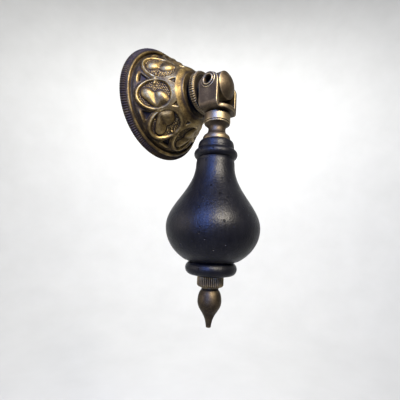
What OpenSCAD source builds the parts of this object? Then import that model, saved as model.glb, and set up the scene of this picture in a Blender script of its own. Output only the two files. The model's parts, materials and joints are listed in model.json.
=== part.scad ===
// Pendant door knocker (drop pull): a hollow embossed rosette holds a spindle, and a turned wooden
// drop with a finial swings from the spindle on a clevis and a tubular pin.
// Millimetres. +Z is up, the door is the plane y = 0 and the front faces -Y.
// The origin is the centre of the rosette's back, on the axis of the tapped fixing hole.
// The hinge pin lies along X, so the drop swings in the Y-Z plane.

/* [Rosette] */
// Outside radius over the reeds of the rim
rosette_r = 25; // [24.6:0.1:26]
// Depth from the door to the front of the nose
nose_y = 19.6; // [19.2:0.1:20]
// Radius of the nose at its front edge
nose_r = 9.5; // [9:0.1:10]
// Thickness of the hollow shell
wall_t = 1.6; // [1.4:0.1:1.8]
// Reeds around the rim
reed_count = 160; // [120:4:180]
// Ringed roundels embossed on the cone
roundel_count = 8; // [6:1:8]
// Outside radius of each roundel's raised ring
roundel_r = 6.7; // [6:0.1:6.8]
// Turn of the first roundel about the spindle, in degrees
roundel_turn = 14.5; // [0:0.5:45]
// Height of the raised rings above the cone
ring_h = 0.5; // [0.3:0.1:0.7]
// Height of the raised leaf in each roundel
leaf_h = 0.8; // [0.5:0.1:1]

/* [Spindle and washer] */
// Distance of the hinge pin from the door
pin_y = 30.2; // [30:0.1:30.5]
// Radius of the spindle's round head between the clevis ears
head_r = 5.5; // [5:0.1:5.5]
// Distance of the spindle's domed tip from the door
tip_y = 36.2; // [36:0.1:36.4]
// Radius of the threaded shank
shank_r = 4; // [3.8:0.1:4]
// Radius of the tapped fixing hole in the shank's rear end
fixing_r = 2.1; // [1.6:0.1:2.2]
// Depth of the tapped fixing hole
fixing_l = 12; // [10:0.5:14]
// Radius of the knurled washer
washer_r = 8.7; // [8.4:0.1:8.8]
// Rear face of the knurled washer
washer_y = 21.4; // [21.2:0.1:21.6]
// Thickness of the knurled washer
washer_t = 2.6; // [2.2:0.1:2.6]
// Grooves of the knurled washer
washer_knurls = 58; // [48:2:64]

/* [Clevis and pin] */
// Outside half width of the clevis over its ears
ear_x = 7.3; // [7.3:0.1:7.6]
// Thickness of the clevis strip
ear_t = 1.5; // [1.3:0.1:1.5]
// Half depth of an ear, front to back
ear_w = 4.3; // [4:0.1:4.3]
// Height of the ears above the pin
ear_top = 3.2; // [3:0.1:3.4]
// Height of the clevis's inner floor below the pin
floor_z = 9.3; // [9.3:0.1:9.6]
// Radius of the clevis's round base
base_r = 7; // [6.6:0.1:7.2]
// Outside radius of the tubular hinge pin
pin_r = 2.7; // [2.5:0.05:2.7]
// Radius of the pin's flared ends outside the ears
pin_end_r = 3.1; // [2.9:0.1:3.1]
// Radius of the hole through the tubular pin
pin_hole_r = 1.5; // [1.3:0.1:1.7]
// Running clearance between the pin and the spindle's cross bore
pin_gap = 0.06; // [0.04:0.01:0.09]

/* [Drop] */
// Top of the wooden drop below the pin
wood_top = 22.3; // [22:0.1:22.6]
// Foot of the wooden drop below the pin
wood_foot = 72.4; // [71.5:0.1:73]
// Largest radius of the drop
bulb_r = 17.3; // [15:0.1:17.3]
// Depth of the largest radius below the pin
bulb_z = 55.3; // [54.5:0.1:55.5]
// Radius of the drop's neck
neck_r = 7.35; // [6.8:0.05:7.8]
// Radius of the tie bolt's shank
bolt_r = 2; // [1.8:0.1:2]
// Length of the knurled ring under the foot
ring_l = 4; // [3.4:0.1:4.2]
// Grooves of the knurled ring
ring_knurls = 40; // [32:2:44]
// Length of the finial below the knurled ring
finial_l = 14.1; // [13:0.1:15]

/* [Hidden] */
$fn = 96;
eps = 0.01;
rim_t = 2.3;
// the cone runs from the shoulder above the rim to the nose, slightly flared
cone_a = [rosette_r - 4, 4];
cone_b = [nose_r, nose_y - 0.2];
cone_bulge = -0.4;
cone_n = [cone_b[1] - cone_a[1], cone_a[0] - cone_b[0]] / norm(cone_b - cone_a);
cone_tilt = atan2(cone_n[0], cone_n[1]);
roundel_at = 0.415;
shell_front = nose_y - 1.8;
backing_t = 1.2;
spring_t = 1.4;
nut_t = 6.5;
nut_af = 13;
backing_front = shell_front;
spring_front = backing_front - backing_t;
nut_front = spring_front - spring_t;
head_back = washer_y + washer_t;
clevis_washer_top = floor_z + 1.7;
ferrule_top = clevis_washer_top + 0.5;
head_h = 1.4;
ring_top = wood_foot;
ring_foot = ring_top + ring_l;
finial_foot = ring_foot + finial_l;
finial_bore = 5;
brass = [0.62, 0.50, 0.27];
bronze = [0.42, 0.31, 0.19];
steel = [0.60, 0.60, 0.58];
black = [0.05, 0.05, 0.06];

// a point on the cone's outline, t from rim to nose, moved outward by out
function cone_pt(t, out = 0) =
    cone_a + (cone_b - cone_a) * t + cone_n * (cone_bulge * 4 * t * (1 - t) + out);

// a point on a cubic curve through four control points
function curve(a, b, c, d, t) =
    a * pow(1 - t, 3) + b * 3 * t * pow(1 - t, 2) + c * 3 * t * t * (1 - t) + d * pow(t, 3);

// an outline point on a circle
function on_circle(c, r, a) = c + r * [cos(a), sin(a)];

// children drawn along +Z are turned to point out of the door
module outward() {
    rotate([90, 0, 0])
        children();
}

// children drawn about the hinge pin are moved there
module at_pin() {
    translate([0, -pin_y, 0])
        children();
}

// a disc with shallow grooves all round its edge
module reeded(r, depth, count, h) {
    linear_extrude(height = h)
        polygon([for (i = [0 : 2 * count - 1])
            let (a = 180 * i / count, q = r - depth * (i % 2)) [q * cos(a), q * sin(a)]]);
}

// a thin skin that follows the cone, from below its surface to out above it
module cone_skin(out) {
    rotate_extrude()
        polygon(concat(
            [for (i = [0 : 6]) cone_pt(0.01 + 0.97 * i / 6, out)],
            [for (i = [6 : -1 : 0]) cone_pt(0.01 + 0.97 * i / 6, -0.8)]));
}

// places children on the cone at each roundel's centre, +Z out of the surface, +X down to the rim
module at_roundels() {
    c = cone_pt(roundel_at);
    for (i = [0 : roundel_count - 1])
        rotate([0, 0, 180 + roundel_turn + 360 * i / roundel_count])
            translate([c[0], 0, c[1]])
                rotate([0, cone_tilt, 0])
                    children();
}

// one half of the heart-shaped leaf, on the side given by side (1 or -1), its point along +Y
module half_leaf(side) {
    w = roundel_r - 2.5;
    polygon(concat(
        [for (i = [0 : 6]) let (a = 180 - 30 * i)
            [side * w * (0.5 + 0.44 * cos(a)), -w * (0.25 + 0.5 * sin(a))]],
        [[side * 0.72 * w, 0.45 * w], [side * 0.06 * w, 1.05 * w]]));
}

module rosette() {
    color(brass)
        outward()
            union() {
                difference() {
                    intersection() {
                        reeded(rosette_r, 0.45, reed_count, rim_t);
                        rotate_extrude()
                            polygon([[0, 0], [rosette_r + 0.1, 0], [rosette_r + 0.1, 0.6],
                                [rosette_r - 1.65, rim_t], [0, rim_t]]);
                    }
                    translate([0, 0, -1])
                        cylinder(r = rosette_r - 1.9, h = rim_t + 2);
                }
                rotate_extrude()
                    translate([rosette_r - 2.35, rim_t + 0.15])
                        circle(r = 0.65, $fn = 32);
                rotate_extrude()
                    polygon(concat(
                        [[rosette_r - 2.6, 0], [rosette_r - 1.2, 0], [rosette_r - 1.2, 1.2],
                            [rosette_r - 2.1, rim_t], [rosette_r - 3.2, rim_t + 0.3],
                            [rosette_r - 3.7, rim_t + 0.5], [rosette_r - 3.9, rim_t + 1]],
                        [for (i = [0 : 9]) cone_pt(i / 9)],
                        [[nose_r - 0.3, nose_y], [shank_r + 0.05, nose_y],
                            [shank_r + 0.05, shell_front], [nose_r - 1.2, shell_front]],
                        [for (i = [9 : -1 : 1]) cone_pt(0.9 * i / 9, -wall_t)],
                        [[rosette_r - 5.2, rim_t + 0.3], [rosette_r - 3, 0.9]]));
                intersection() {
                    cone_skin(ring_h);
                    at_roundels()
                        difference() {
                            translate([0, 0, -3])
                                cylinder(r = roundel_r, h = 6);
                            translate([0, 0, -4])
                                cylinder(r = roundel_r - 0.9, h = 8);
                        }
                }
                intersection() {
                    cone_skin(leaf_h);
                    at_roundels()
                        for (side = [-1, 1])
                            translate([0, 0, -3])
                                linear_extrude(height = 6)
                                    half_leaf(side);
                }
            }
}

module neck_collar() {
    color(bronze)
        outward()
            translate([0, 0, nose_y])
                difference() {
                    cylinder(r = 6.2, h = washer_y - nose_y);
                    translate([0, 0, -1])
                        cylinder(r = shank_r + 0.05, h = washer_y - nose_y + 2);
                }
}

module knurled_washer() {
    color(bronze)
        outward()
            translate([0, 0, washer_y])
                difference() {
                    intersection() {
                        reeded(washer_r, 0.3, washer_knurls, washer_t);
                        rotate_extrude()
                            polygon([[0, 0], [washer_r - 0.4, 0], [washer_r + 0.1, 0.5],
                                [washer_r + 0.1, washer_t - 0.6], [washer_r - 0.5, washer_t],
                                [0, washer_t]]);
                    }
                    translate([0, 0, -1])
                        cylinder(r = shank_r + 0.05, h = washer_t + 2);
                }
}

module spindle() {
    color(bronze)
        difference() {
            outward()
                rotate_extrude()
                    polygon(concat(
                        [[0, 0], [shank_r - 0.5, 0], [shank_r, 0.5], [shank_r, head_back],
                            [head_r, head_back], [head_r, tip_y - 2.5]],
                        [for (i = [1 : 4]) on_circle([head_r - 0.6, tip_y - 2.5], 0.6, 15 * i)],
                        [for (i = [7 : -1 : 0]) [(head_r - 0.3) * i / 8, tip_y - 1.9 * pow(i / 8, 2)]]));
            at_pin()
                rotate([0, 90, 0])
                    cylinder(r = pin_r + pin_gap, h = 20, center = true);
            outward()
                translate([0, 0, -1])
                    cylinder(r = fixing_r, h = fixing_l + 1);
        }
}

module backing_washer() {
    color(steel)
        outward()
            translate([0, 0, spring_front])
                difference() {
                    cylinder(r = 8, h = backing_t);
                    translate([0, 0, -1])
                        cylinder(r = shank_r + 0.2, h = backing_t + 2);
                }
}

module spring_washer() {
    color(steel)
        outward()
            translate([0, 0, nut_front])
                difference() {
                    cylinder(r = 6.9, h = spring_t);
                    translate([0, 0, -1])
                        cylinder(r = shank_r + 0.15, h = spring_t + 2);
                    rotate([0, 0, 70])
                        translate([0, -0.4, -1])
                            cube([10, 0.8, spring_t + 2]);
                }
}

module lock_nut() {
    color(steel)
        outward()
            translate([0, 0, nut_front - nut_t])
                difference() {
                    intersection() {
                        cylinder(r = nut_af / 2 / cos(30), h = nut_t, $fn = 6);
                        rotate_extrude()
                            polygon([[0, 0], [nut_af / 2, 0], [nut_af / 2 + 1.1, 0.7],
                                [nut_af / 2 + 1.1, nut_t], [0, nut_t]]);
                    }
                    translate([0, 0, -1])
                        cylinder(r = shank_r + 0.02, h = nut_t + 2);
                }
}

// the clevis strip seen from the front: two ears joined by a floor with round bends
module clevis_front() {
    bend = 2.4;
    inner = ear_x - ear_t;
    polygon(concat(
        [[-ear_x, ear_top]],
        [for (i = [0 : 6]) on_circle([-ear_x + bend, -clevis_washer_top + bend], bend, 180 + 15 * i)],
        [for (i = [0 : 6]) on_circle([ear_x - bend, -clevis_washer_top + bend], bend, 270 + 15 * i)],
        [[ear_x, ear_top], [inner, ear_top]],
        [for (i = [6 : -1 : 0]) on_circle([inner - 0.9, -floor_z + 0.9], 0.9, 270 + 15 * i)],
        [for (i = [6 : -1 : 0]) on_circle([-inner + 0.9, -floor_z + 0.9], 0.9, 180 + 15 * i)],
        [[-inner, ear_top]]));
}

// an ear seen from the side, round on top, its rear edge (toward the door) drawn in at the floor
module clevis_side() {
    c = [0, ear_top - ear_w];
    polygon(concat(
        [[ear_w, c[1]]],
        [for (i = [1 : 11]) on_circle(c, ear_w, 15 * i)],
        [[-ear_w, c[1]], [-ear_w, -clevis_washer_top], [ear_w - 0.5, -clevis_washer_top],
            [ear_w - 0.5, 0.4 - floor_z], [ear_w, 2.5 - floor_z]]));
}

module clevis() {
    color(bronze)
        at_pin()
            difference() {
                union() {
                    intersection() {
                        rotate([90, 0, 0])
                            linear_extrude(height = 20, center = true)
                                clevis_front();
                        rotate([90, 0, 90])
                            linear_extrude(height = 20, center = true)
                                clevis_side();
                    }
                    intersection() {
                        translate([0, 0, -clevis_washer_top])
                            cylinder(r = base_r, h = clevis_washer_top - floor_z);
                        translate([-10, -10, -20])
                            cube([20, 10 + ear_w - 0.5, 20]);
                    }
                }
                rotate([0, 90, 0])
                    cylinder(r = pin_r + eps, h = 20, center = true);
                translate([0, 0, -20])
                    cylinder(r = bolt_r + 0.05, h = 20);
            }
}

module pivot_pin() {
    color(bronze)
        at_pin()
            rotate([0, 90, 0])
                rotate_extrude()
                    polygon([[pin_hole_r + 0.4, -ear_x - 0.7], [pin_end_r - 0.3, -ear_x - 0.7],
                        [pin_end_r, -ear_x - 0.4], [pin_end_r, -ear_x], [pin_r, -ear_x],
                        [pin_r, ear_x], [pin_end_r, ear_x], [pin_end_r, ear_x + 0.4],
                        [pin_end_r - 0.3, ear_x + 0.7], [pin_hole_r + 0.4, ear_x + 0.7],
                        [pin_hole_r, ear_x + 0.1], [pin_hole_r, -ear_x - 0.1]]);
}

module tie_bolt() {
    bolt_end = ring_foot + finial_bore - 0.2;
    color(steel)
        at_pin()
            difference() {
                rotate_extrude()
                    polygon([[0, -floor_z + head_h], [3, -floor_z + head_h],
                        [3.4, -floor_z + head_h - 0.4], [3.4, -floor_z], [bolt_r, -floor_z],
                        [bolt_r, 0.5 - bolt_end], [bolt_r - 0.5, -bolt_end], [0, -bolt_end]]);
                translate([-5, -0.45, -floor_z + head_h - 0.7])
                    cube([10, 0.9, 2]);
            }
}

module clevis_washer() {
    color(bronze)
        at_pin()
            translate([0, 0, -ferrule_top])
                difference() {
                    cylinder(r = 4.3, h = ferrule_top - clevis_washer_top);
                    translate([0, 0, -1])
                        cylinder(r = bolt_r + 0.05, h = 3);
                }
}

module ferrule() {
    top = ferrule_top;
    foot = wood_top;
    color(bronze)
        at_pin()
            rotate_extrude()
                polygon(concat(
                    [[bolt_r + 0.05, -top], [4.7, -top], [5.15, -top - 0.5], [5.15, -top - 3.3],
                        [4.6, -top - 3.9]],
                    [for (i = [1 : 5]) [3.4 + 1.2 * (1 - sin(18 * i)), -top - 3.9 - 0.4 * i]],
                    [for (i = [1 : 6]) [3.4 + 1.7 * (1 - cos(15 * i)), -top - 5.9 - 2.9 * sin(15 * i)]],
                    [[5.1, -foot + 1.5], [5.3, -foot + 1], [5.1, -foot], [bolt_r + 0.05, -foot]]));
}

module wooden_drop() {
    ring_z = wood_top + 5.3;
    neck_z = wood_top + 9.2;
    color(black)
        at_pin()
            difference() {
                rotate_extrude()
                    polygon(concat(
                        [[0, -wood_top], [5.6, -wood_top]],
                        [for (i = [0 : 5]) [5.6 + 1.3 * sin(18 * i), -wood_top - 2.2 * (1 - cos(18 * i))]],
                        [for (i = [0 : 10]) on_circle([6.5, -ring_z], 1.8, 75 - 15 * i)],
                        [for (i = [0 : 20]) curve([neck_r, -neck_z], [neck_r, -neck_z - 10.2],
                            [bulb_r, -bulb_z + 8], [bulb_r, -bulb_z], i / 20)],
                        [for (i = [1 : 16]) [bulb_r * cos(3.5 * i), -bulb_z - 14.4 * sin(3.5 * i)]],
                        [for (i = [0 : 12]) on_circle([6.9, -wood_foot + 2.4], 2.4, 90 - 15 * i)],
                        [[0, -wood_foot]]));
                translate([0, 0, -wood_foot - 1])
                    cylinder(r = bolt_r + 0.1, h = wood_foot);
            }
}

module knurled_ring() {
    color(bronze)
        at_pin()
            translate([0, 0, -ring_foot])
                difference() {
                    intersection() {
                        reeded(4.8, 0.25, ring_knurls, ring_l);
                        rotate_extrude()
                            polygon([[0, 0], [4.3, 0], [4.9, 0.6], [4.9, ring_l - 0.6],
                                [4.3, ring_l], [0, ring_l]]);
                    }
                    translate([0, 0, -1])
                        cylinder(r = bolt_r + 0.05, h = ring_l + 2);
                }
}

module finial() {
    top = ring_foot;
    color(bronze)
        at_pin()
            difference() {
                rotate_extrude()
                    polygon(concat(
                        [[0, -top], [3.3, -top], [3.1, -top - 0.6], [3.1, -top - 1.2]],
                        [for (i = [0 : 9]) [3.1 + 1.2 * sin(10 * i), -top - 1.2 - 4 * (1 - cos(10 * i))]],
                        [for (i = [1 : 16]) curve([4.3, -top - 5.2], [4.3, -top - 8.6],
                            [1.3, -top - 8.8], [0.85, -finial_foot + 0.2], i / 16)],
                        [[0.6, -finial_foot], [0, -finial_foot]]));
                translate([0, 0, -top - finial_bore])
                    cylinder(r = bolt_r + 0.02, h = finial_bore + 1);
            }
}

rosette();
neck_collar();
knurled_washer();
spindle();
backing_washer();
spring_washer();
lock_nut();
clevis();
pivot_pin();
tie_bolt();
clevis_washer();
ferrule();
wooden_drop();
knurled_ring();
finial();
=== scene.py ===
import json
import math

import bmesh
import bpy
import numpy as np
from mathutils import Matrix, Vector

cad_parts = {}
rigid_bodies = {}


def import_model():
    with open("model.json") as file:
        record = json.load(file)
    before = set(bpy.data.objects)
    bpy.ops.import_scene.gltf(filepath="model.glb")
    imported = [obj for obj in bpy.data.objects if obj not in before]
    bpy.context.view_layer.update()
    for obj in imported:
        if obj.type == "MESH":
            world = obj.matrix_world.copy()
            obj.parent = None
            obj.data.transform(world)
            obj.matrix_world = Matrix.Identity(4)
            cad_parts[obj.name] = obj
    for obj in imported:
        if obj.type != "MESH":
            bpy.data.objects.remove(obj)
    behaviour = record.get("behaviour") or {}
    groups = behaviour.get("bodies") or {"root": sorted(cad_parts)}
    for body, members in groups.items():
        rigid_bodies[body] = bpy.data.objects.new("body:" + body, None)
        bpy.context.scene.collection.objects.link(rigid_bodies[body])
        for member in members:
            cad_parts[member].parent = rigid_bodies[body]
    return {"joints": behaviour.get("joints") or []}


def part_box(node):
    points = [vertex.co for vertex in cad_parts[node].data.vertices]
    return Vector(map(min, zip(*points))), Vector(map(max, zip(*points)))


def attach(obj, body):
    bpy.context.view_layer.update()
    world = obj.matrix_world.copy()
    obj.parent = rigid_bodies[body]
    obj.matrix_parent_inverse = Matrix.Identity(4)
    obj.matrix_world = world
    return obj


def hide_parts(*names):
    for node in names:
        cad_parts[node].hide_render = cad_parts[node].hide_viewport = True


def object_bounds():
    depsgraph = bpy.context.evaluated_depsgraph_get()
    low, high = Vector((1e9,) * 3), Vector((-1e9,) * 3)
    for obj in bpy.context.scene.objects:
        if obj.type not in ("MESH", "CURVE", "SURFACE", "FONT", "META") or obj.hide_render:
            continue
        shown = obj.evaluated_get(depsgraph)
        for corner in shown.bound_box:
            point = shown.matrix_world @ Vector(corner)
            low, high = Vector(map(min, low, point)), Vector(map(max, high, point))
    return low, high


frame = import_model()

# Pendant door knocker. The door is the plane y = 0 and the front faces -Y. Shapes are worked out in
# millimetres and built in metres. Lathe outlines are (radius, height) pairs; heights run out of the
# door for the parts on the spindle, and down from the hinge pin for the parts of the drop.

MM = 0.001
CAD_BOX = [list(corner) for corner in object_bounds()]
HINGE = frame["joints"][0]
PIN_Y = -HINGE["pos_m"][1] / MM
FIXED = HINGE["parent"]
SWINGING = HINGE["child"]


def extent(node, axis):
    """A CAD node's lowest and highest value along an axis (0, 1 or 2), in millimetres."""
    low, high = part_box(node)
    return low[axis] / MM, high[axis] / MM


def out_of_door(node):
    """Where a node on the spindle starts and ends, measured out of the door."""
    low, high = extent(node, 1)
    return -high, -low


def below_pin(node):
    """Where a node of the drop starts and ends, measured down from the hinge pin."""
    low, high = extent(node, 2)
    return -high, -low


# ---------------------------------------------------------------------------------- mesh building

OUTWARD = Matrix(((1, 0, 0), (0, 0, -1), (0, 1, 0))).to_4x4()
AT_PIN = Matrix.Translation((0, -PIN_Y * MM, 0))
DOWN = AT_PIN @ Matrix(((1, 0, 0), (0, -1, 0), (0, 0, -1))).to_4x4()
ALONG_PIN = AT_PIN @ Matrix.Rotation(math.pi / 2, 4, "Y")


def smoothstep(x, low, high):
    t = np.clip((x - low) / (high - low), 0, 1)
    return t * t * (3 - 2 * t)


def bump(x):
    """A round hill, 1 at x = 0 and 0 from |x| = 1 outwards."""
    return np.where(np.abs(x) < 1, np.cos(np.clip(x, -1, 1) * math.pi / 2) ** 2, 0)


def rounded(corners, steps=5):
    """An outline through (r, h) corners; a corner (r, h, radius) is rounded off."""
    points = []
    for i, corner in enumerate(corners):
        here = np.array(corner[:2], float)
        if len(corner) == 2 or i in (0, len(corners) - 1):
            points.append(here)
            continue
        before = np.array(corners[i - 1][:2], float) - here
        after = np.array(corners[i + 1][:2], float) - here
        reach = min(corner[2], 0.49 * np.linalg.norm(before), 0.49 * np.linalg.norm(after))
        start = here + before / np.linalg.norm(before) * reach
        end = here + after / np.linalg.norm(after) * reach
        for t in np.linspace(0, 1, steps + 1):
            points.append(start * (1 - t) ** 2 + here * 2 * t * (1 - t) + end * t * t)
    return np.array(points)


def curve(a, b, c, d, steps):
    """Points on a cubic curve through four control points, without the first."""
    t = np.linspace(0, 1, steps + 1)[1:, None]
    a, b, c, d = (np.array(p, float) for p in (a, b, c, d))
    return a * (1 - t) ** 3 + b * 3 * t * (1 - t) ** 2 + c * 3 * t * t * (1 - t) + d * t ** 3


def arc(centre, radius, start, end, steps):
    """Points on a circle of the outline, angles in degrees from +r towards +h."""
    a = np.radians(np.linspace(start, end, steps + 1))
    return np.stack([centre[0] + radius * np.cos(a), centre[1] + radius * np.sin(a)], 1)


def new_mesh(name, points, faces, sharp=35):
    mesh = bpy.data.meshes.new(name)
    mesh.from_pydata(points.tolist(), [], faces)
    mesh.validate()
    mesh.shade_smooth()
    mesh.set_sharp_from_angle(angle=math.radians(sharp))
    piece = bpy.data.objects.new(name, mesh)
    bpy.context.scene.collection.objects.link(piece)
    return piece


def revolve(name, outline, columns, place, shape=None, ring=False, sharp=35):
    """Turns an outline into a closed mesh. shape(r, h, angle) may move its points first.

    A ring's outline closes on itself; any other outline starts and ends on the axis.
    """
    outline = np.asarray(outline, float)
    angle = np.linspace(0, 2 * math.pi, columns, endpoint=False)[None, :]
    body = outline if ring else outline[1:-1]
    r = np.repeat(body[:, :1], columns, 1)
    h = np.repeat(body[:, 1:], columns, 1)
    if shape:
        r, h = shape(r, h, angle)
    rows = len(body)
    grid = np.stack([r * np.cos(angle), r * np.sin(angle), h], 2).reshape(-1, 3)
    down = np.arange(rows if ring else rows - 1)
    i = (down[:, None] * columns + np.arange(columns)[None, :])
    j = (((down + 1) % rows)[:, None] * columns + np.arange(columns)[None, :])
    around = np.roll(np.arange(columns), -1)
    quads = np.stack([i, i[:, around], j[:, around], j], 2).reshape(-1, 4)
    faces = quads.tolist()
    if not ring:
        grid = np.vstack([grid, [0, 0, outline[0, 1]], [0, 0, outline[-1, 1]]])
        first, last, end = len(grid) - 2, len(grid) - 1, (rows - 1) * columns
        faces += [(first, (k + 1) % columns, k) for k in range(columns)]
        faces += [(last, end + k, end + (k + 1) % columns) for k in range(columns)]
    piece = new_mesh(name, grid * MM, faces, sharp)
    piece.data.transform(place)
    face_outwards(piece)
    return piece


def face_outwards(piece):
    """Turns a closed mesh's faces over where its volume comes out negative."""
    mesh = piece.data
    mesh.calc_loop_triangles()
    corners = np.array([t.vertices[:] for t in mesh.loop_triangles])
    co = np.array([v.co[:] for v in mesh.vertices])
    a, b, c = (co[corners[:, k]] for k in range(3))
    if (a * np.cross(b, c)).sum() < 0:
        mesh.flip_normals()


def add_wear(piece, full_at=0.3, passes=1, height=None):
    """Stores a value at each point: 0 in hollows, 0.5 on flats, 1 on edges of radius full_at mm."""
    mesh = piece.data
    count = len(mesh.vertices)
    co = np.empty(count * 3)
    normal = np.empty(count * 3)
    edges = np.empty(len(mesh.edges) * 2, int)
    mesh.vertices.foreach_get("co", co)
    mesh.vertices.foreach_get("normal", normal)
    mesh.edges.foreach_get("vertices", edges)
    co, normal, edges = co.reshape(-1, 3), normal.reshape(-1, 3), edges.reshape(-1, 2)
    a, b = edges[:, 0], edges[:, 1]
    step = co[b] - co[a]
    squared = np.maximum((step ** 2).sum(1), 1e-14)
    bend_a = -(step * normal[a]).sum(1) / squared
    bend_b = (step * normal[b]).sum(1) / squared
    degree = np.bincount(edges.ravel(), minlength=count)
    bend = np.bincount(a, bend_a, count) + np.bincount(b, bend_b, count)
    bend = bend / np.maximum(degree, 1) * 2 * MM * full_at
    for _ in range(passes):
        near = np.bincount(a, bend[b], count) + np.bincount(b, bend[a], count)
        bend = 0.4 * bend + 0.6 * near / np.maximum(degree, 1)
    wear_and_shade = 0.5 + 0.5 * np.tanh(1.5 * bend)
    # height, when given, is added on top; the rosette puts painted shade into it as well as rubbing and
    # patina.
    if height is not None:
        wear_and_shade = wear_and_shade + height
    mesh.attributes.new("wear_and_shade", "FLOAT", "POINT").data.foreach_set("value", np.clip(wear_and_shade, 0, 1))


# -------------------------------------------------------------------------------------- materials

def node_tree(name):
    material = bpy.data.materials.new(name)
    material.use_nodes = True
    tree = material.node_tree
    return material, tree, tree.nodes["Principled BSDF"]


def noise(tree, scale, detail=4, roughness=0.6, stretch=None):
    """A noise texture in object space, scale in features a metre; stretch squeezes its axes."""
    place = tree.nodes.new("ShaderNodeTexCoord")
    texture = tree.nodes.new("ShaderNodeTexNoise")
    texture.inputs["Scale"].default_value = scale
    texture.inputs["Detail"].default_value = detail
    texture.inputs["Roughness"].default_value = roughness
    source = place.outputs["Object"]
    if stretch:
        mapping = tree.nodes.new("ShaderNodeMapping")
        mapping.inputs["Scale"].default_value = stretch
        tree.links.new(source, mapping.inputs["Vector"])
        source = mapping.outputs["Vector"]
    tree.links.new(source, texture.inputs["Vector"])
    return texture.outputs["Fac"]


def add(tree, a, b):
    node = tree.nodes.new("ShaderNodeMath")
    node.operation = "ADD"
    tree.links.new(a, node.inputs[0])
    tree.links.new(b, node.inputs[1])
    return node.outputs[0]


def spread(tree, value, low, high, to_low, to_high):
    """Maps a value from one range onto another, held at the ends."""
    node = tree.nodes.new("ShaderNodeMapRange")
    tree.links.new(value, node.inputs["Value"])
    for name, number in (("From Min", low), ("From Max", high), ("To Min", to_low), ("To Max", to_high)):
        node.inputs[name].default_value = number
    return node.outputs["Result"]


def ramp(tree, value, stops):
    """A colour for a value; stops are (position, colour) pairs."""
    node = tree.nodes.new("ShaderNodeValToRGB")
    elements = node.color_ramp.elements
    while len(elements) < len(stops):
        elements.new(0.5)
    for element, (position, colour) in zip(elements, stops):
        element.position = position
        element.color = (*colour, 1)
    tree.links.new(value, node.inputs["Fac"])
    return node.outputs["Color"]


def add_bump(tree, shader, height, distance):
    """Adds relief to a shader, on top of any it has."""
    node = tree.nodes.new("ShaderNodeBump")
    node.inputs["Distance"].default_value = distance
    tree.links.new(height, node.inputs["Height"])
    if shader.inputs["Normal"].is_linked:
        tree.links.new(shader.inputs["Normal"].links[0].from_socket, node.inputs["Normal"])
    tree.links.new(node.outputs["Normal"], shader.inputs["Normal"])


def patinated(name, stops, rough, blotch):
    """Metal with dark patina in its hollows, rubbed bright on its edges.

    rough is the roughness in hollows and on edges; blotch is how far the patina wanders.
    """
    material, tree, shader = node_tree(name)
    # Besides patina in hollows and rubbing on edges, this value carries the painted shade that the rosette
    # puts into it.
    wear_and_shade = tree.nodes.new("ShaderNodeAttribute")
    wear_and_shade.attribute_name = "wear_and_shade"
    cloud = spread(tree, noise(tree, 260, 5), 0.3, 0.7, -blotch / 2, blotch / 2)
    speck = spread(tree, noise(tree, 2200, 3, 0.7), 0.3, 0.7, -blotch / 3, blotch / 3)
    level = add(tree, add(tree, wear_and_shade.outputs["Fac"], cloud), speck)
    tree.links.new(ramp(tree, level, stops), shader.inputs["Base Color"])
    tree.links.new(spread(tree, level, 0.0, 0.45, 0.55, 1.0), shader.inputs["Metallic"])
    smudge = spread(tree, noise(tree, 700, 4), 0.3, 0.7, -0.06, 0.06)
    polish = spread(tree, level, 0.1, 0.9, *rough)
    tree.links.new(add(tree, polish, smudge), shader.inputs["Roughness"])
    add_bump(tree, shader, noise(tree, 3200, 3), 0.00003)
    return material


def brass_finish():
    return patinated("antique_brass", [
        (0.00, (0.006, 0.004, 0.006)), (0.28, (0.018, 0.012, 0.011)), (0.48, (0.055, 0.039, 0.021)),
        (0.64, (0.145, 0.101, 0.041)), (0.82, (0.330, 0.240, 0.096)), (1.00, (0.620, 0.490, 0.240))],
        rough=(0.64, 0.46), blotch=0.3)


def bronze_finish(name, light):
    """Brown bronze with brassy edges; light scales its colour."""
    tones = [(0.00, (0.006, 0.004, 0.004)), (0.30, (0.020, 0.015, 0.011)), (0.50, (0.072, 0.054, 0.034)),
             (0.75, (0.205, 0.158, 0.092)), (1.00, (0.500, 0.410, 0.240))]
    return patinated(name, [(at, tuple(light * c for c in colour)) for at, colour in tones],
                     rough=(0.60, 0.46), blotch=0.18)


def wood_finish():
    """Black satin paint over turned wood: faint grain, a few open pores."""
    material, tree, shader = node_tree("black_wood")
    shader.inputs["Specular IOR Level"].default_value = 0.2
    streak = noise(tree, 900, 4, 0.6, stretch=(1, 1, 0.12))
    tree.links.new(ramp(tree, streak, [(0.3, (0.001, 0.001, 0.002)), (0.7, (0.005, 0.005, 0.006))]),
                   shader.inputs["Base Color"])
    tree.links.new(spread(tree, noise(tree, 420, 4), 0.3, 0.7, 0.34, 0.46), shader.inputs["Roughness"])
    add_bump(tree, shader, streak, 0.00006)
    add_bump(tree, shader, noise(tree, 1500, 3, 0.6), 0.00012)
    place = tree.nodes.new("ShaderNodeTexCoord")
    cells = tree.nodes.new("ShaderNodeTexVoronoi")
    cells.inputs["Scale"].default_value = 300
    tree.links.new(place.outputs["Object"], cells.inputs["Vector"])
    pores = spread(tree, cells.outputs["Distance"], 0.06, 0.13, 0, 1)
    add_bump(tree, shader, pores, 0.0005)
    return material


def zinc_finish():
    """Dull plated steel for the fasteners inside."""
    material, tree, shader = node_tree("zinc_steel")
    shader.inputs["Metallic"].default_value = 1.0
    cloud = noise(tree, 500, 5)
    tree.links.new(ramp(tree, cloud, [(0.3, (0.33, 0.33, 0.31)), (0.7, (0.56, 0.56, 0.54))]),
                   shader.inputs["Base Color"])
    tree.links.new(spread(tree, noise(tree, 1500, 3), 0.3, 0.7, 0.30, 0.48), shader.inputs["Roughness"])
    add_bump(tree, shader, noise(tree, 2800, 3), 0.00002)
    return material


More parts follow.
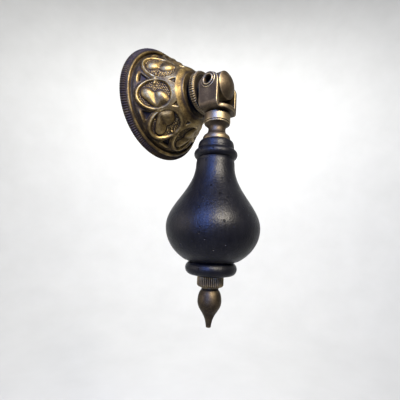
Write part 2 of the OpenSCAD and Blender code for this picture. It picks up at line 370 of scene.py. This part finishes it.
def finish(piece, material, body, node):
    """Gives a piece its material and ties it to the frame in place of the CAD node it stands for."""
    piece.data.materials.clear()
    piece.data.materials.append(material)
    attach(piece, body)
    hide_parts(node)


# ---------------------------------------------------------------------------------------- rosette

ROSETTE_R = extent("rosette", 0)[1]
NOSE_Y = out_of_door("rosette")[1]
SHANK_R = 4.0
REEDS = 160
REED_COLUMNS = 8
ROUNDELS = 8
FIRST_ROUNDEL = math.radians(194.5)
RIM_T = 2.3
NOSE_R = 9.5
WALL_T = 1.6
CONE_FOOT = np.array([ROSETTE_R - 4.0, 4.0])
CONE_TOP = np.array([NOSE_R, NOSE_Y - 0.2])
CONE_BULGE = -0.4
CONE_ROWS = 150
CENTRE_FROM_FOOT = 8.0
RING_ALONG = 7.9
RING_AROUND = 6.4
RING_R = 6.6
RING_HEIGHT = 1.0
LEAF_LEAN = 0.30
LEAF_HEIGHT = 1.9
GROUND_DEPTH = 0.6
REED_DEPTH = 0.42


def cone_line(t, out=0.0):
    """Points on the cone's outline, t from the rim to the nose, moved outward by out."""
    t = np.asarray(t, float)[:, None]
    along = CONE_TOP - CONE_FOOT
    outward = np.array([along[1], -along[0]]) / np.linalg.norm(along)
    return CONE_FOOT + along * t + outward * (CONE_BULGE * 4 * t * (1 - t) + out)


def tapered_capsule(p, q, start, end, r_start, r_end):
    """Distance inside (positive) a shape swept from a circle at start to a smaller one at end."""
    axis = np.array(end) - np.array(start)
    t = np.clip(((p - start[0]) * axis[0] + (q - start[1]) * axis[1]) / (axis ** 2).sum(), 0, 1)
    away = np.hypot(p - start[0] - axis[0] * t, q - start[1] - axis[1] * t)
    return r_start + (r_end - r_start) * t - away


def pillow(inside, width, height):
    """A domed height that rises steeply from an outline, width mm to its full height."""
    t = np.clip(inside / width, 0, 1)
    return height * np.sqrt(1 - (1 - t) ** 2)


def pebbles(p, q, seed=7):
    """Low round dots, scattered evenly over the ground of a roundel."""
    pick = np.random.default_rng(seed)
    pitch = 0.74
    height = np.zeros_like(p)
    for row in range(-8, 9):
        for column in range(-8, 9):
            x = (column + 0.5 * (row % 2)) * pitch + pick.uniform(-0.12, 0.12)
            y = row * pitch * 0.87 + pick.uniform(-0.12, 0.12)
            tall = pick.uniform(0.18, 0.34)
            height = np.maximum(height, tall * bump(np.hypot(p - x, q - y) / 0.36))
    return height


def roundel_relief(along, angle, r):
    """Height of the ornament over one roundel and half the gaps beside it.

    along is measured down the cone from the roundel's centre, towards the rim. A ring holds a leaf
    shaped like a heart, on pebbled ground, with its point towards a rising angle. A knot joins each
    ring to the next, with a sunk triangle on both sides of it, and the nose side flares smoothly.
    """
    pitch = 2 * math.pi / ROUNDELS
    p = along
    q = angle * r
    across = np.sqrt((p / RING_ALONG) ** 2 + (q / RING_AROUND) ** 2) * RING_R
    ring = RING_HEIGHT * bump((across - 5.85) / 1.3)
    ground = 1 - smoothstep(across, 4.7, 5.7)
    side = np.hypot(p, 0.6)
    leaf = tapered_capsule(side, q + LEAF_LEAN * p, (2.75, 0.8), (0.5, 4.4), 2.9, 1.35)
    height = ring + ground * (pillow(leaf, 2.6, LEAF_HEIGHT) - GROUND_DEPTH)
    stem = 1 - np.abs(p) / 1.1 - np.abs(q + 4.3) / 2.1
    height = np.maximum(height, np.clip(stem, 0, 1) * 1.7 - GROUND_DEPTH * ground)

    gap = (np.abs(angle) - pitch / 2) * r
    knot = bump(np.hypot(p, gap * 0.9) / 2.2)
    height = np.maximum(height, 1.05 * knot ** 0.7)
    outside = smoothstep(across, 6.5, 7.1)
    rim_triangle = np.minimum(6.3 - p, (p - 2.6) * 0.50 + gap * 0.87)
    nose_triangle = np.minimum(p + 8.2, (-p - 5.6) * 0.42 + gap * 0.90)
    flare = smoothstep(across, 5.1, 5.8) * smoothstep(-p, -0.5, 2.5) * (1 - smoothstep(-p, 8.2, 10.9))
    height = np.maximum(height, RING_HEIGHT * flare)
    height = height - outside * 0.9 * smoothstep(rim_triangle, 0.0, 0.40)
    height = height - outside * 0.6 * smoothstep(nose_triangle, 0.0, 0.30)
    tongue = bump((p - 7.2) / 0.7) * bump(gap / 3.2)
    height = soften(height + outside * 0.5 * tongue ** 0.6, 6)
    outside_leaf = 1 - smoothstep(leaf, -0.35, -0.05)
    return height + ground * outside_leaf * (1 - np.clip(stem * 4, 0, 1)) * pebbles(p, q)


def soften(height, passes):
    """Rounds off a height field's creases; its first and last columns meet its neighbours'."""
    for _ in range(passes):
        wide = np.pad(height, 1, "edge")
        height = (wide[:-2, 1:-1] + wide[2:, 1:-1] + wide[1:-1, :-2] + wide[1:-1, 2:]) / 6 + height / 3
    return height


def rosette():
    """The hollow cast rosette: reeded rim, bead, embossed cone and nose, one closed surface."""
    columns = REEDS * REED_COLUMNS
    t = np.linspace(0, 1, CONE_ROWS)
    cone = cone_line(t)
    reeded_side = curve((ROSETTE_R - 0.03, 0.35), (ROSETTE_R - 0.1, 1.0), (ROSETTE_R - 0.9, 1.6),
                        (ROSETTE_R - 1.6, RIM_T - 0.1), 14)
    rim = np.vstack([[(ROSETTE_R - 2.6, 0.0), (ROSETTE_R - 0.35, 0.0), (ROSETTE_R - 0.1, 0.12)],
                     reeded_side])
    bead = arc((ROSETTE_R - 2.35, RIM_T + 0.15), 0.65, -10, 190, 12)
    shoulder = rounded([
        tuple(bead[-1]), (ROSETTE_R - 3.3, RIM_T, 0.2), (ROSETTE_R - 3.7, RIM_T + 0.5, 0.3),
        (ROSETTE_R - 3.9, RIM_T + 1.1, 0.3), tuple(cone[0])], 5)[1:-1]
    hollow = rounded([
        tuple(cone[-1]), (NOSE_R - 0.15, NOSE_Y, 0.3), (7.4, NOSE_Y, 0.1), (7.2, NOSE_Y - 0.35, 0.1),
        (SHANK_R + 0.05, NOSE_Y - 0.35), (SHANK_R + 0.05, NOSE_Y - 1.8), (NOSE_R - 1.2, NOSE_Y - 1.8, 0.3),
        tuple(cone_line([0.88], -WALL_T)[0])], 4)[1:]
    inside = cone_line(np.linspace(0.86, 0.08, 12), -WALL_T)
    foot = rounded([tuple(inside[-1]), (ROSETTE_R - 5.2, RIM_T + 0.3, 0.8), (ROSETTE_R - 3, 0.9, 0.4),
                    (ROSETTE_R - 2.6, 0)], 4)[1:-1]
    outline = np.vstack([rim, bead, shoulder, cone, hollow, inside, foot])
    first = len(rim) + len(bead) + len(shoulder)

    step = np.hypot(*np.diff(cone, axis=0).T)
    slant = np.concatenate([[0], np.cumsum(step)])
    tangent = np.gradient(cone, axis=0)
    normal = np.stack([tangent[:, 1], -tangent[:, 0]], 1)
    normal /= np.linalg.norm(normal, axis=1)[:, None]
    sector = columns // ROUNDELS
    angle = (np.arange(sector) - sector / 2) * 2 * math.pi / columns
    relief = roundel_relief((CENTRE_FROM_FOOT - slant)[:, None], angle[None, :], cone[:, :1])
    relief *= smoothstep(slant, 0.0, 0.5)[:, None]
    turn = round(FIRST_ROUNDEL / (2 * math.pi) * columns)
    pair = np.hstack([relief, relief[:, ::-1]])
    relief = np.roll(np.tile(pair, (1, ROUNDELS // 2)), turn - sector // 2, 1)

    def shape(r, h, a):
        rows = slice(first, first + CONE_ROWS)
        r[rows] += normal[:, :1] * relief
        h[rows] += normal[:, 1:] * relief
        reeds = slice(2, len(rim))
        groove = 0.5 - 0.5 * np.cos(a * REEDS)
        height = h[reeds]
        fade = smoothstep(height, 0.05, 0.4) * (1 - smoothstep(height, RIM_T - 0.4, RIM_T - 0.1))
        r[reeds] -= REED_DEPTH * fade * groove ** 0.8
        return r, h

    piece = revolve("rosette_casting", outline, columns, OUTWARD, shape, ring=True, sharp=50)
    # Offsets to the rosette's wear and shade value: rubbing and patina on the cone, painted shade on the
    # rim and in the hollow.
    lift = np.zeros((len(outline), columns))
    lift[first:first + CONE_ROWS] = np.clip(relief * 0.4 - 0.05, -0.35, 0.12)
    # Painted shade: the reeded rim is painted darker overall, and the crest of every reed darker still.
    lift[:len(rim)] = -0.15 - 0.22 * np.cos(np.arange(columns) / REED_COLUMNS * 2 * math.pi)
    # Painted shade: the nose's front face, the hollow inside and the foot are painted darker.
    lift[first + CONE_ROWS:] = -0.15
    add_wear(piece, 0.18, 4, lift.ravel())
    return piece


# ------------------------------------------------------------------------------- parts on the spindle

def knurled(count, depth, low, high, fade=0.35):
    """A shape for revolve: grooves round the edge between two heights."""
    def shape(r, h, a):
        edge = r > r.max() - 3 * depth
        weight = smoothstep(h, low, low + fade) * (1 - smoothstep(h, high - fade, high))
        groove = np.abs(np.sin(a * count / 2)) ** 0.7
        return r - np.where(edge, depth * weight * (1 - groove), 0), h
    return shape


def threaded(r_top, pitch, low, high, depth=0.35):
    """A shape for revolve: a screw thread between two heights on a plain shank."""
    def shape(r, h, a):
        on = (np.abs(r - r_top) < 0.02) & (h > low) & (h < high)
        wave = np.abs(((h / pitch + a / (2 * math.pi)) % 1) - 0.5) * 2
        fade = smoothstep(h, low, low + pitch) * (1 - smoothstep(h, high - pitch, high))
        return r - np.where(on, depth * fade * wave, 0), h
    return shape


def neck_collar():
    back, front = out_of_door("neck_collar")
    r = extent("neck_collar", 0)[1]
    outline = rounded([(SHANK_R + 0.05, back), (r, back, 0.15), (r - 0.1, (back + front) / 2, 0.3),
                       (r, front, 0.15), (SHANK_R + 0.05, front)], 4)
    return revolve("neck_collar_turned", outline, 96, OUTWARD, ring=True)


def knurled_washer():
    back, front = out_of_door("knurled_washer")
    r = extent("knurled_washer", 0)[1]
    outline = rounded([
        (SHANK_R + 0.05, back), (r - 0.9, back, 0.1), (r, back + 0.5, 0.2), (r, back + 0.8),
        (r, (back + front) / 2), (r, front - 0.8), (r, front - 0.55, 0.2), (r - 0.75, front - 0.02, 0.2),
        (r - 1.5, front - 0.02, 0.1), (r - 1.7, front - 0.18, 0.1), (5.4, front - 0.18, 0.1),
        (5.2, front, 0.1), (SHANK_R + 0.05, front)], 4)
    return revolve("knurled_washer_turned", outline, 58 * 12, OUTWARD,
                   knurled(58, 0.38, back + 0.1, front - 0.1), ring=True)


def spindle():
    """The round head between the clevis ears, with its threaded and tapped shank."""
    back, tip = out_of_door("spindle")
    shoulder = out_of_door("knurled_washer")[1]
    r = 5.5
    shank = [(SHANK_R, y) for y in np.arange(back + 0.6, out_of_door("lock_nut")[0] + 0.4, 0.14)]
    dome = [((r - 0.3) * math.sin(math.radians(a)), tip - 1.9 * math.sin(math.radians(a)) ** 2)
            for a in range(85, -1, -5)]
    tapped = back + 12.0
    outline = np.vstack([
        rounded([(0, tapped), (1.5, tapped, 0.2), (2.1, tapped - 0.8, 0.2), (2.1, back + 0.4, 0.2),
                 (2.5, back, 0.1), (SHANK_R - 0.5, back, 0.1), (SHANK_R, back + 0.5, 0.1),
                 (SHANK_R, back + 0.6)], 3),
        shank, [(SHANK_R, shoulder)],
        rounded([(SHANK_R, shoulder), (r, shoulder, 0.25), (r, tip - 2.15, 0.4), tuple(dome[0])], 6)[1:-1],
        dome])
    return revolve("spindle_turned", outline, 144, OUTWARD,
                   threaded(SHANK_R, 1.25, back + 0.5, out_of_door("lock_nut")[0] + 0.4), sharp=50)


def backing_washer():
    back, front = out_of_door("backing_washer")
    r = extent("backing_washer", 0)[1]
    outline = rounded([(4.2, back, 0.1), (r, back, 0.25), (r, front, 0.25), (4.2, front, 0.1)], 4)
    return revolve("backing_washer_stamped", outline, 96, OUTWARD, ring=True)


def spring_washer():
    """A split ring; its ends part by a hair's breadth in height."""
    back, front = out_of_door("spring_washer")
    outline = rounded([(4.15, back + 0.1), (6.75, back + 0.1, 0.1), (6.9, back + 0.25, 0.1),
                       (6.9, front - 0.25, 0.1), (6.75, front - 0.1, 0.1), (4.15, front - 0.1)], 2)
    turn = np.radians(np.linspace(73.5, 426.5, 121))
    lift = np.linspace(-0.09, 0.09, len(turn))
    section = len(outline)
    points = np.concatenate([np.stack([outline[:, 0] * math.cos(a), outline[:, 0] * math.sin(a),
                                       outline[:, 1] + up], 1) for a, up in zip(turn, lift)])
    faces = [tuple(range(section)), tuple((len(turn) - 1) * section + k for k in reversed(range(section)))]
    for i in range(len(turn) - 1):
        for k in range(section):
            a, b = i * section + k, i * section + (k + 1) % section
            faces.append((b, a, a + section, b + section))
    piece = new_mesh("spring_washer_split", points * MM, faces)
    piece.data.transform(OUTWARD)
    face_outwards(piece)
    return piece


def lock_nut():
    """A chamfered hexagon nut."""
    back, front = out_of_door("lock_nut")
    low, high = extent("lock_nut", 2)
    flat = (high - low) / 2
    height = front - back
    outline = rounded([
        (SHANK_R + 0.02, back + 0.5), (SHANK_R + 0.5, back, 0.05), (flat - 0.3, back, 0.1),
        (flat + 1.2, back + 0.8), (flat + 1.2, back + height / 2), (flat + 1.2, front - 0.3),
        (flat - 0.1, front, 0.1), (SHANK_R + 0.5, front, 0.05), (SHANK_R + 0.02, front - 0.5)], 3)

    def hexagon(r, h, a):
        nearest = (a + math.pi / 2) % (math.pi / 3) - math.pi / 6
        side = flat / np.cos(nearest)
        return np.minimum(r, np.where(r > SHANK_R + 1, side - 0.02, r)), h

    return revolve("lock_nut_hex", outline, 144, OUTWARD, hexagon, ring=True, sharp=25)


# --------------------------------------------------------------------------------- parts of the drop

ROD_R = 2.0
ROD_HOLE_R = 2.05
PIN_R = 2.7
PIN_HOLE_R = 2.71


def clevis_path(half_width_x, floor, top, bend, thick):
    """The strip's middle line from one ear's top to the other's, as (x, z), with its normals."""
    side = half_width_x - thick / 2
    foot = -floor - thick / 2
    turn = bend - thick / 2
    left = [(-side, z) for z in np.linspace(top, foot + turn, 60)]
    corner = [(-side + turn - turn * math.cos(a), foot + turn - turn * math.sin(a))
              for a in np.linspace(0, math.pi / 2, 12)[1:]]
    base = [(x, foot) for x in np.linspace(-side + turn, side - turn, 40)[1:]]
    half = np.array(left + corner + base)
    mirrored = np.array([(-x, z) for x, z in (left + corner)[::-1]])
    line = np.vstack([half, mirrored[1:]])
    along = np.gradient(line, axis=0)
    normal = np.stack([-along[:, 1], along[:, 0]], 1)
    return line, normal / np.linalg.norm(normal, axis=1)[:, None]


def clevis():
    """A strip bent up into two round-topped ears, widened into a round tray between them.

    The strip is laid out flat first: run is the length along it, front and back are its half-widths.
    It thins to nothing at its border, which rounds every edge.
    """
    top_below, base_below = below_pin("clevis")
    top = -top_below
    ear_x = extent("clevis", 0)[1]
    thick, ear_w, base_r, edge = 1.5, 4.3, 7.0, 0.27
    floor = base_below - thick
    line, normal = clevis_path(ear_x, floor, top, 2.4, thick)
    run = np.concatenate([[0], np.cumsum(np.hypot(*np.diff(line, axis=0).T))])
    x, z = line[:, 0], line[:, 1]
    round_top = np.sqrt(np.clip(ear_w ** 2 - np.clip(z - (top - ear_w), 0, None) ** 2, 0, None))
    disc = np.sqrt(np.clip(base_r ** 2 - x ** 2, 0, None))
    low = smoothstep(-z, floor - 1.6, floor + 0.6)
    front = np.maximum(round_top, disc * low)
    back = round_top * (1 - low) + np.minimum(round_top, ear_w - 0.5) * low
    border = np.vstack([np.stack([run, front], 1), np.stack([run, -back], 1)[::-1]])
    fine = np.vstack([np.linspace(a, b, 6, endpoint=False) for a, b in zip(border, np.roll(border, -1, 0))])
    across = -np.cos(np.linspace(0, math.pi, 41))
    share = (across + 1) / 2
    y = -back[:, None] + (front + back)[:, None] * share[None, :]
    flat = np.stack([np.repeat(run[:, None], len(across), 1), y], 2)
    near = np.sqrt(((flat[:, :, None, :] - fine[None, None]) ** 2).sum(3)).min(2)
    t = np.clip(near / edge, 0, 1)
    half = thick / 2 * np.sqrt(np.clip(1 - (1 - t) ** 2, 0, 1))
    rows, columns = y.shape
    middle = np.stack([np.repeat(x[:, None], columns, 1), -y, np.repeat(z[:, None], columns, 1)], 2)
    push = np.stack([np.repeat(normal[:, :1], columns, 1), np.zeros_like(y),
                     np.repeat(normal[:, 1:], columns, 1)], 2) * half[:, :, None]
    points = np.vstack([(middle + push).reshape(-1, 3), (middle - push).reshape(-1, 3)])
    faces = []
    count = rows * columns
    for i in range(rows - 1):
        for k in range(columns - 1):
            a = i * columns + k
            faces.append((a, a + 1, a + columns + 1, a + columns))
            faces.append((count + a, count + a + columns, count + a + columns + 1, count + a + 1))
    piece = new_mesh("clevis_strip", points * MM, faces, 40)
    weld(piece, 0.00002)
    face_outwards(piece)
    piece.data.transform(AT_PIN)
    drill(piece, PIN_HOLE_R, 40, ALONG_PIN)
    drill(piece, ROD_HOLE_R, 40, Matrix.Translation((0, -PIN_Y * MM, -base_below * MM)))
    return piece


def weld(piece, distance):
    """Joins points closer than a distance in metres."""
    work = bmesh.new()
    work.from_mesh(piece.data)
    bmesh.ops.remove_doubles(work, verts=work.verts, dist=distance)
    bmesh.ops.dissolve_degenerate(work, edges=work.edges, dist=1e-7)
    bmesh.ops.recalc_face_normals(work, faces=work.faces)
    work.to_mesh(piece.data)
    work.free()


def drill(piece, radius, length, place):
    """Cuts a round hole of a radius in millimetres through a piece."""
    outline = [(0, -length / 2), (radius, -length / 2), (radius, length / 2), (0, length / 2)]
    cutter = revolve("cutter", outline, 64, place)
    cut = piece.modifiers.new("hole", "BOOLEAN")
    cut.operation = "DIFFERENCE"
    cut.solver = "EXACT"
    cut.object = cutter
    bpy.context.view_layer.update()
    shape = bpy.data.meshes.new_from_object(piece.evaluated_get(bpy.context.evaluated_depsgraph_get()))
    piece.modifiers.clear()
    piece.data = shape
    bpy.data.objects.remove(cutter)


def pivot_pin():
    """A tube with a flange peened out against each ear."""
    low, high = extent("pivot_pin", 0)
    flange, lip, bore = 3.1, 2.35, 1.5
    end = [(bore, 1.4, 0.2), (bore + 0.05, 0.5, 0.3), (bore + 0.35, 0.03, 0.2), (lip - 0.15, 0, 0.2),
           (lip, 0.3, 0.1), (lip + 0.15, 0.42, 0.1), (flange - 0.1, 0.36, 0.15), (flange, 0.7),
           (PIN_R, 0.71)]
    near = [(corner[0], low + corner[1], *corner[2:]) for corner in end]
    far = [(corner[0], high - corner[1], *corner[2:]) for corner in reversed(end)]
    outline = rounded(near + far, 4)
    return revolve("pivot_pin_tube", outline, 96, ALONG_PIN, ring=True)


def tie_bolt():
    top, end = below_pin("tie_bolt")
    seat = top + 1.4
    head = 3.4
    outline = rounded([
        (0, top + 0.75), (1.0, top + 0.75, 0.1), (1.25, top + 0.1, 0.1), (2.4, top, 0.2),
        (head, top + 0.3, 0.4), (head, seat - 0.1, 0.1), (head - 0.2, seat), (ROD_R, seat),
        (ROD_R, end - 0.6), (ROD_R - 0.5, end, 0.1), (0, end)], 3)
    return revolve("tie_bolt_turned", outline, 72, DOWN)


def clevis_washer():
    top, foot = below_pin("clevis_washer")
    outline = rounded([(ROD_HOLE_R, top), (4.3, top, 0.15), (4.3, foot, 0.15), (ROD_HOLE_R, foot)], 4)
    return revolve("clevis_washer_turned", outline, 96, DOWN, ring=True)


def ferrule():
    top, foot = below_pin("ferrule")
    r = 5.15
    outline = np.vstack([
        rounded([(ROD_HOLE_R, top), (r - 0.1, top, 0.18), (r, top + 3.05, 0.12), (r - 0.4, top + 3.2, 0.05),
                 (r - 0.4, top + 3.35, 0.05), (r - 0.1, top + 3.5, 0.08), (r - 0.15, top + 3.8, 0.12),
                 (4.55, top + 4.1, 0.15), (4.3, top + 4.3)], 5),
        curve((4.3, top + 4.3), (3.6, top + 4.9), (3.35, top + 5.3), (3.35, top + 6.0), 8),
        curve((3.35, top + 6.0), (3.35, top + 7.2), (3.9, top + 8.0), (4.7, top + 8.5), 10),
        rounded([(4.7, top + 8.5), (4.95, top + 8.7, 0.1), (5.35, foot - 1.3, 0.3),
                 (5.4, foot - 0.35, 0.15), (5.2, foot, 0.1), (ROD_HOLE_R, foot)], 5)[1:]])
    return revolve("ferrule_turned", outline, 144, DOWN, ring=True)


def wooden_drop():
    """The turned drop: cap, ring, neck, bulb and foot."""
    top, foot = below_pin("wooden_drop")
    bulb_r = extent("wooden_drop", 0)[1] - 0.01
    ring = top + 5.3
    neck = top + 9.2
    bulb = 55.3
    swell = [(bulb_r * math.cos(math.radians(a)), bulb + 14.4 * math.sin(math.radians(a)))
             for a in np.arange(3, 57, 2.5)]
    outline = np.vstack([
        [(2.1, top)],
        curve((5.55, top), (6.5, top), (6.85, top + 0.9), (6.95, top + 2.6), 10),
        [(6.85, top + 3.1), (6.9, top + 3.35)],
        arc((6.45, ring), 1.85, -68, 72, 18),
        [(7.25, ring + 1.95)],
        curve((7.2, ring + 2.2), (7.1, ring + 3.0), (7.28, neck - 1.2), (7.35, neck), 8),
        curve((7.35, neck), (7.35, neck + 10.2), (bulb_r, bulb - 8), (bulb_r, bulb), 44),
        swell,
        [(9.05, foot - 5.2), (8.9, foot - 4.95)],
        arc((6.95, foot - 2.45), 2.42, -62, 88, 18),
        [(2.1, foot)]])
    return revolve("wooden_drop_turned", outline, 192, DOWN, ring=True, sharp=45)


def knurled_ring():
    top, foot = below_pin("knurled_ring")
    r = extent("knurled_ring", 0)[1]
    outline = rounded([
        (ROD_HOLE_R, top), (r - 0.5, top, 0.1), (r, top + 0.5, 0.2), (r, top + 0.9), (r, (top + foot) / 2),
        (r, foot - 0.9), (r, foot - 0.5, 0.2), (r - 0.5, foot, 0.1), (ROD_HOLE_R, foot)], 4)
    return revolve("knurled_ring_turned", outline, 40 * 12, DOWN,
                   knurled(40, 0.3, top + 0.15, foot - 0.15), ring=True)


def finial():
    """The turned point that screws onto the rod's lower end."""
    top, foot = below_pin("finial")
    outline = np.vstack([
        rounded([(0, top), (3.35, top, 0.1), (3.4, top + 0.35, 0.1), (3.05, top + 0.6, 0.1),
                 (3.05, top + 1.1)], 3),
        curve((3.05, top + 1.1), (3.6, top + 1.5), (4.3, top + 3.0), (4.3, top + 5.0), 14),
        curve((4.3, top + 5.0), (4.3, top + 8.4), (1.4, top + 8.8), (0.92, foot - 0.3), 24),
        [(0.85, foot - 0.08), (0.7, foot), (0, foot)]])
    return revolve("finial_turned", outline, 128, DOWN)


# ------------------------------------------------------------------------------------- the studio

FLOOR_DEPTH = 400
BOWL_R = 1700
BOWL_HEIGHT = 3400


def camera():
    """A close view from the front left and a little below, through a lens of about 25 mm."""
    azimuth, elevation, roll = (math.radians(a) for a in (-52.9, -7.7, 2.9))
    away, right_by, up_by = 127.5, 18.9, -42.4
    back = Vector((math.sin(azimuth) * math.cos(elevation), -math.cos(azimuth) * math.cos(elevation),
                   math.sin(elevation)))
    level = Vector((math.cos(azimuth), math.sin(azimuth), 0))
    upright = back.cross(level)
    right = math.cos(roll) * level + math.sin(roll) * upright
    up = back.cross(right)
    lens = bpy.data.cameras.new("camera")
    lens.lens = 24.75
    lens.sensor_width = 36
    lens.clip_start = 0.005
    eye = bpy.data.objects.new("camera", lens)
    eye.matrix_world = Matrix((right, up, back)).transposed().to_4x4()
    eye.location = (back * away + level * right_by + upright * up_by) * MM
    bpy.context.scene.collection.objects.link(eye)
    bpy.context.scene.camera = eye


def aim(holder, away):
    """Turns a light so that it shines against a direction."""
    holder.rotation_euler = Vector(away).to_track_quat("Z", "Y").to_euler()


def lamp(name, towards, distance, width, height, power, colour=(1, 1, 1)):
    """A soft box aimed at the drop from a direction."""
    target = Vector((0, -PIN_Y * MM, -0.03))
    light = bpy.data.lights.new(name, "AREA")
    light.shape = "RECTANGLE"
    light.size = width
    light.size_y = height
    light.energy = power
    light.color = colour
    holder = bpy.data.objects.new(name, light)
    away = Vector(towards).normalized()
    holder.location = target + away * distance
    aim(holder, away)
    bpy.context.scene.collection.objects.link(holder)
    return holder


def studio():
    """A pale floor that curves up all round, far from the object, under soft white light."""
    floor_z = CAD_BOX[0][2] - FLOOR_DEPTH * MM
    corner = curve((900, 0), (1400, 0), (BOWL_R, 300), (BOWL_R, 900), 16)
    outline = np.vstack([[(300, 0), (900, 0)], corner, [(BOWL_R, BOWL_HEIGHT)]])
    columns = 96
    angle = np.linspace(0, 2 * math.pi, columns, endpoint=False)
    grid = np.concatenate([np.stack([r * np.cos(angle), r * np.sin(angle), np.full(columns, h)], 1)
                           for r, h in outline])
    points = np.vstack([grid, [[0, 0, 0]]]) * MM + np.array([0, 0, floor_z])
    faces = [(len(points) - 1, k, (k + 1) % columns) for k in range(columns)]
    for i in range(len(outline) - 1):
        for k in range(columns):
            a, b = i * columns + k, i * columns + (k + 1) % columns
            faces.append((a, a + columns, b + columns, b))
    floor = new_mesh("studio_floor", points, faces, 60)
    material, tree, shader = node_tree("pale_floor")
    shader.inputs["Roughness"].default_value = 0.9
    tree.links.new(ramp(tree, noise(tree, 8, 3), [(0.3, (0.50, 0.50, 0.49)), (0.7, (0.53, 0.53, 0.52))]),
                   shader.inputs["Base Color"])
    floor.data.materials.append(material)
    world = bpy.data.worlds.new("studio")
    world.use_nodes = True
    world.node_tree.nodes["Background"].inputs["Color"].default_value = (1, 1, 1, 1)
    world.node_tree.nodes["Background"].inputs["Strength"].default_value = 0.03
    bpy.context.scene.world = world
    bpy.context.scene.view_settings.view_transform = "Standard"
    # Sun, sky and a warm wall for the object, then two lamps turned on the bowl behind it.
    lamp("key", (-0.45, -0.72, 0.53), 0.35, 0.05, 0.05, 3.6, (1.0, 0.91, 0.76))
    lamp("sky", (-0.93, -0.25, 0.48), 0.35, 0.09, 0.40, 3.4, (0.12, 0.27, 1.0))
    lamp("glow", (-0.79, 0.60, 0.13), 0.35, 0.25, 0.25, 0.5, (1.0, 0.88, 0.76))
    aim(lamp("backdrop", (0.35, 0.25, 0.9), 1.0, 0.8, 0.8, 36), (-0.72, -0.55, 0.42))
    aim(lamp("side_backdrop", (-0.3, 0.3, 0.9), 1.0, 0.8, 0.8, 14), (0.9, -0.25, 0.36))


def build():
    """Makes every piece, each in its finish and on its body."""
    finishes = {
        "rosette_brass": brass_finish(),
        "bronze": bronze_finish("bronze", 1.0),
        "dark_bronze": bronze_finish("dark_bronze", 0.6),
        "black_wood": wood_finish(),
        "zinc_steel": zinc_finish()}
    parts = [
        (rosette, "rosette_brass", FIXED), (neck_collar, "dark_bronze", FIXED),
        (knurled_washer, "dark_bronze", FIXED), (spindle, "bronze", FIXED),
        (backing_washer, "zinc_steel", FIXED), (spring_washer, "zinc_steel", FIXED),
        (lock_nut, "zinc_steel", FIXED), (clevis, "bronze", SWINGING), (pivot_pin, "bronze", SWINGING),
        (clevis_washer, "bronze", SWINGING), (ferrule, "bronze", SWINGING),
        (knurled_ring, "dark_bronze", SWINGING), (finial, "dark_bronze", SWINGING),
        (tie_bolt, "zinc_steel", SWINGING), (wooden_drop, "black_wood", SWINGING)]
    for make, slot, body in parts:
        piece = make()
        if slot.endswith("bronze"):
            add_wear(piece)
        finish(piece, finishes[slot], body, make.__name__)


camera()
studio()
build()
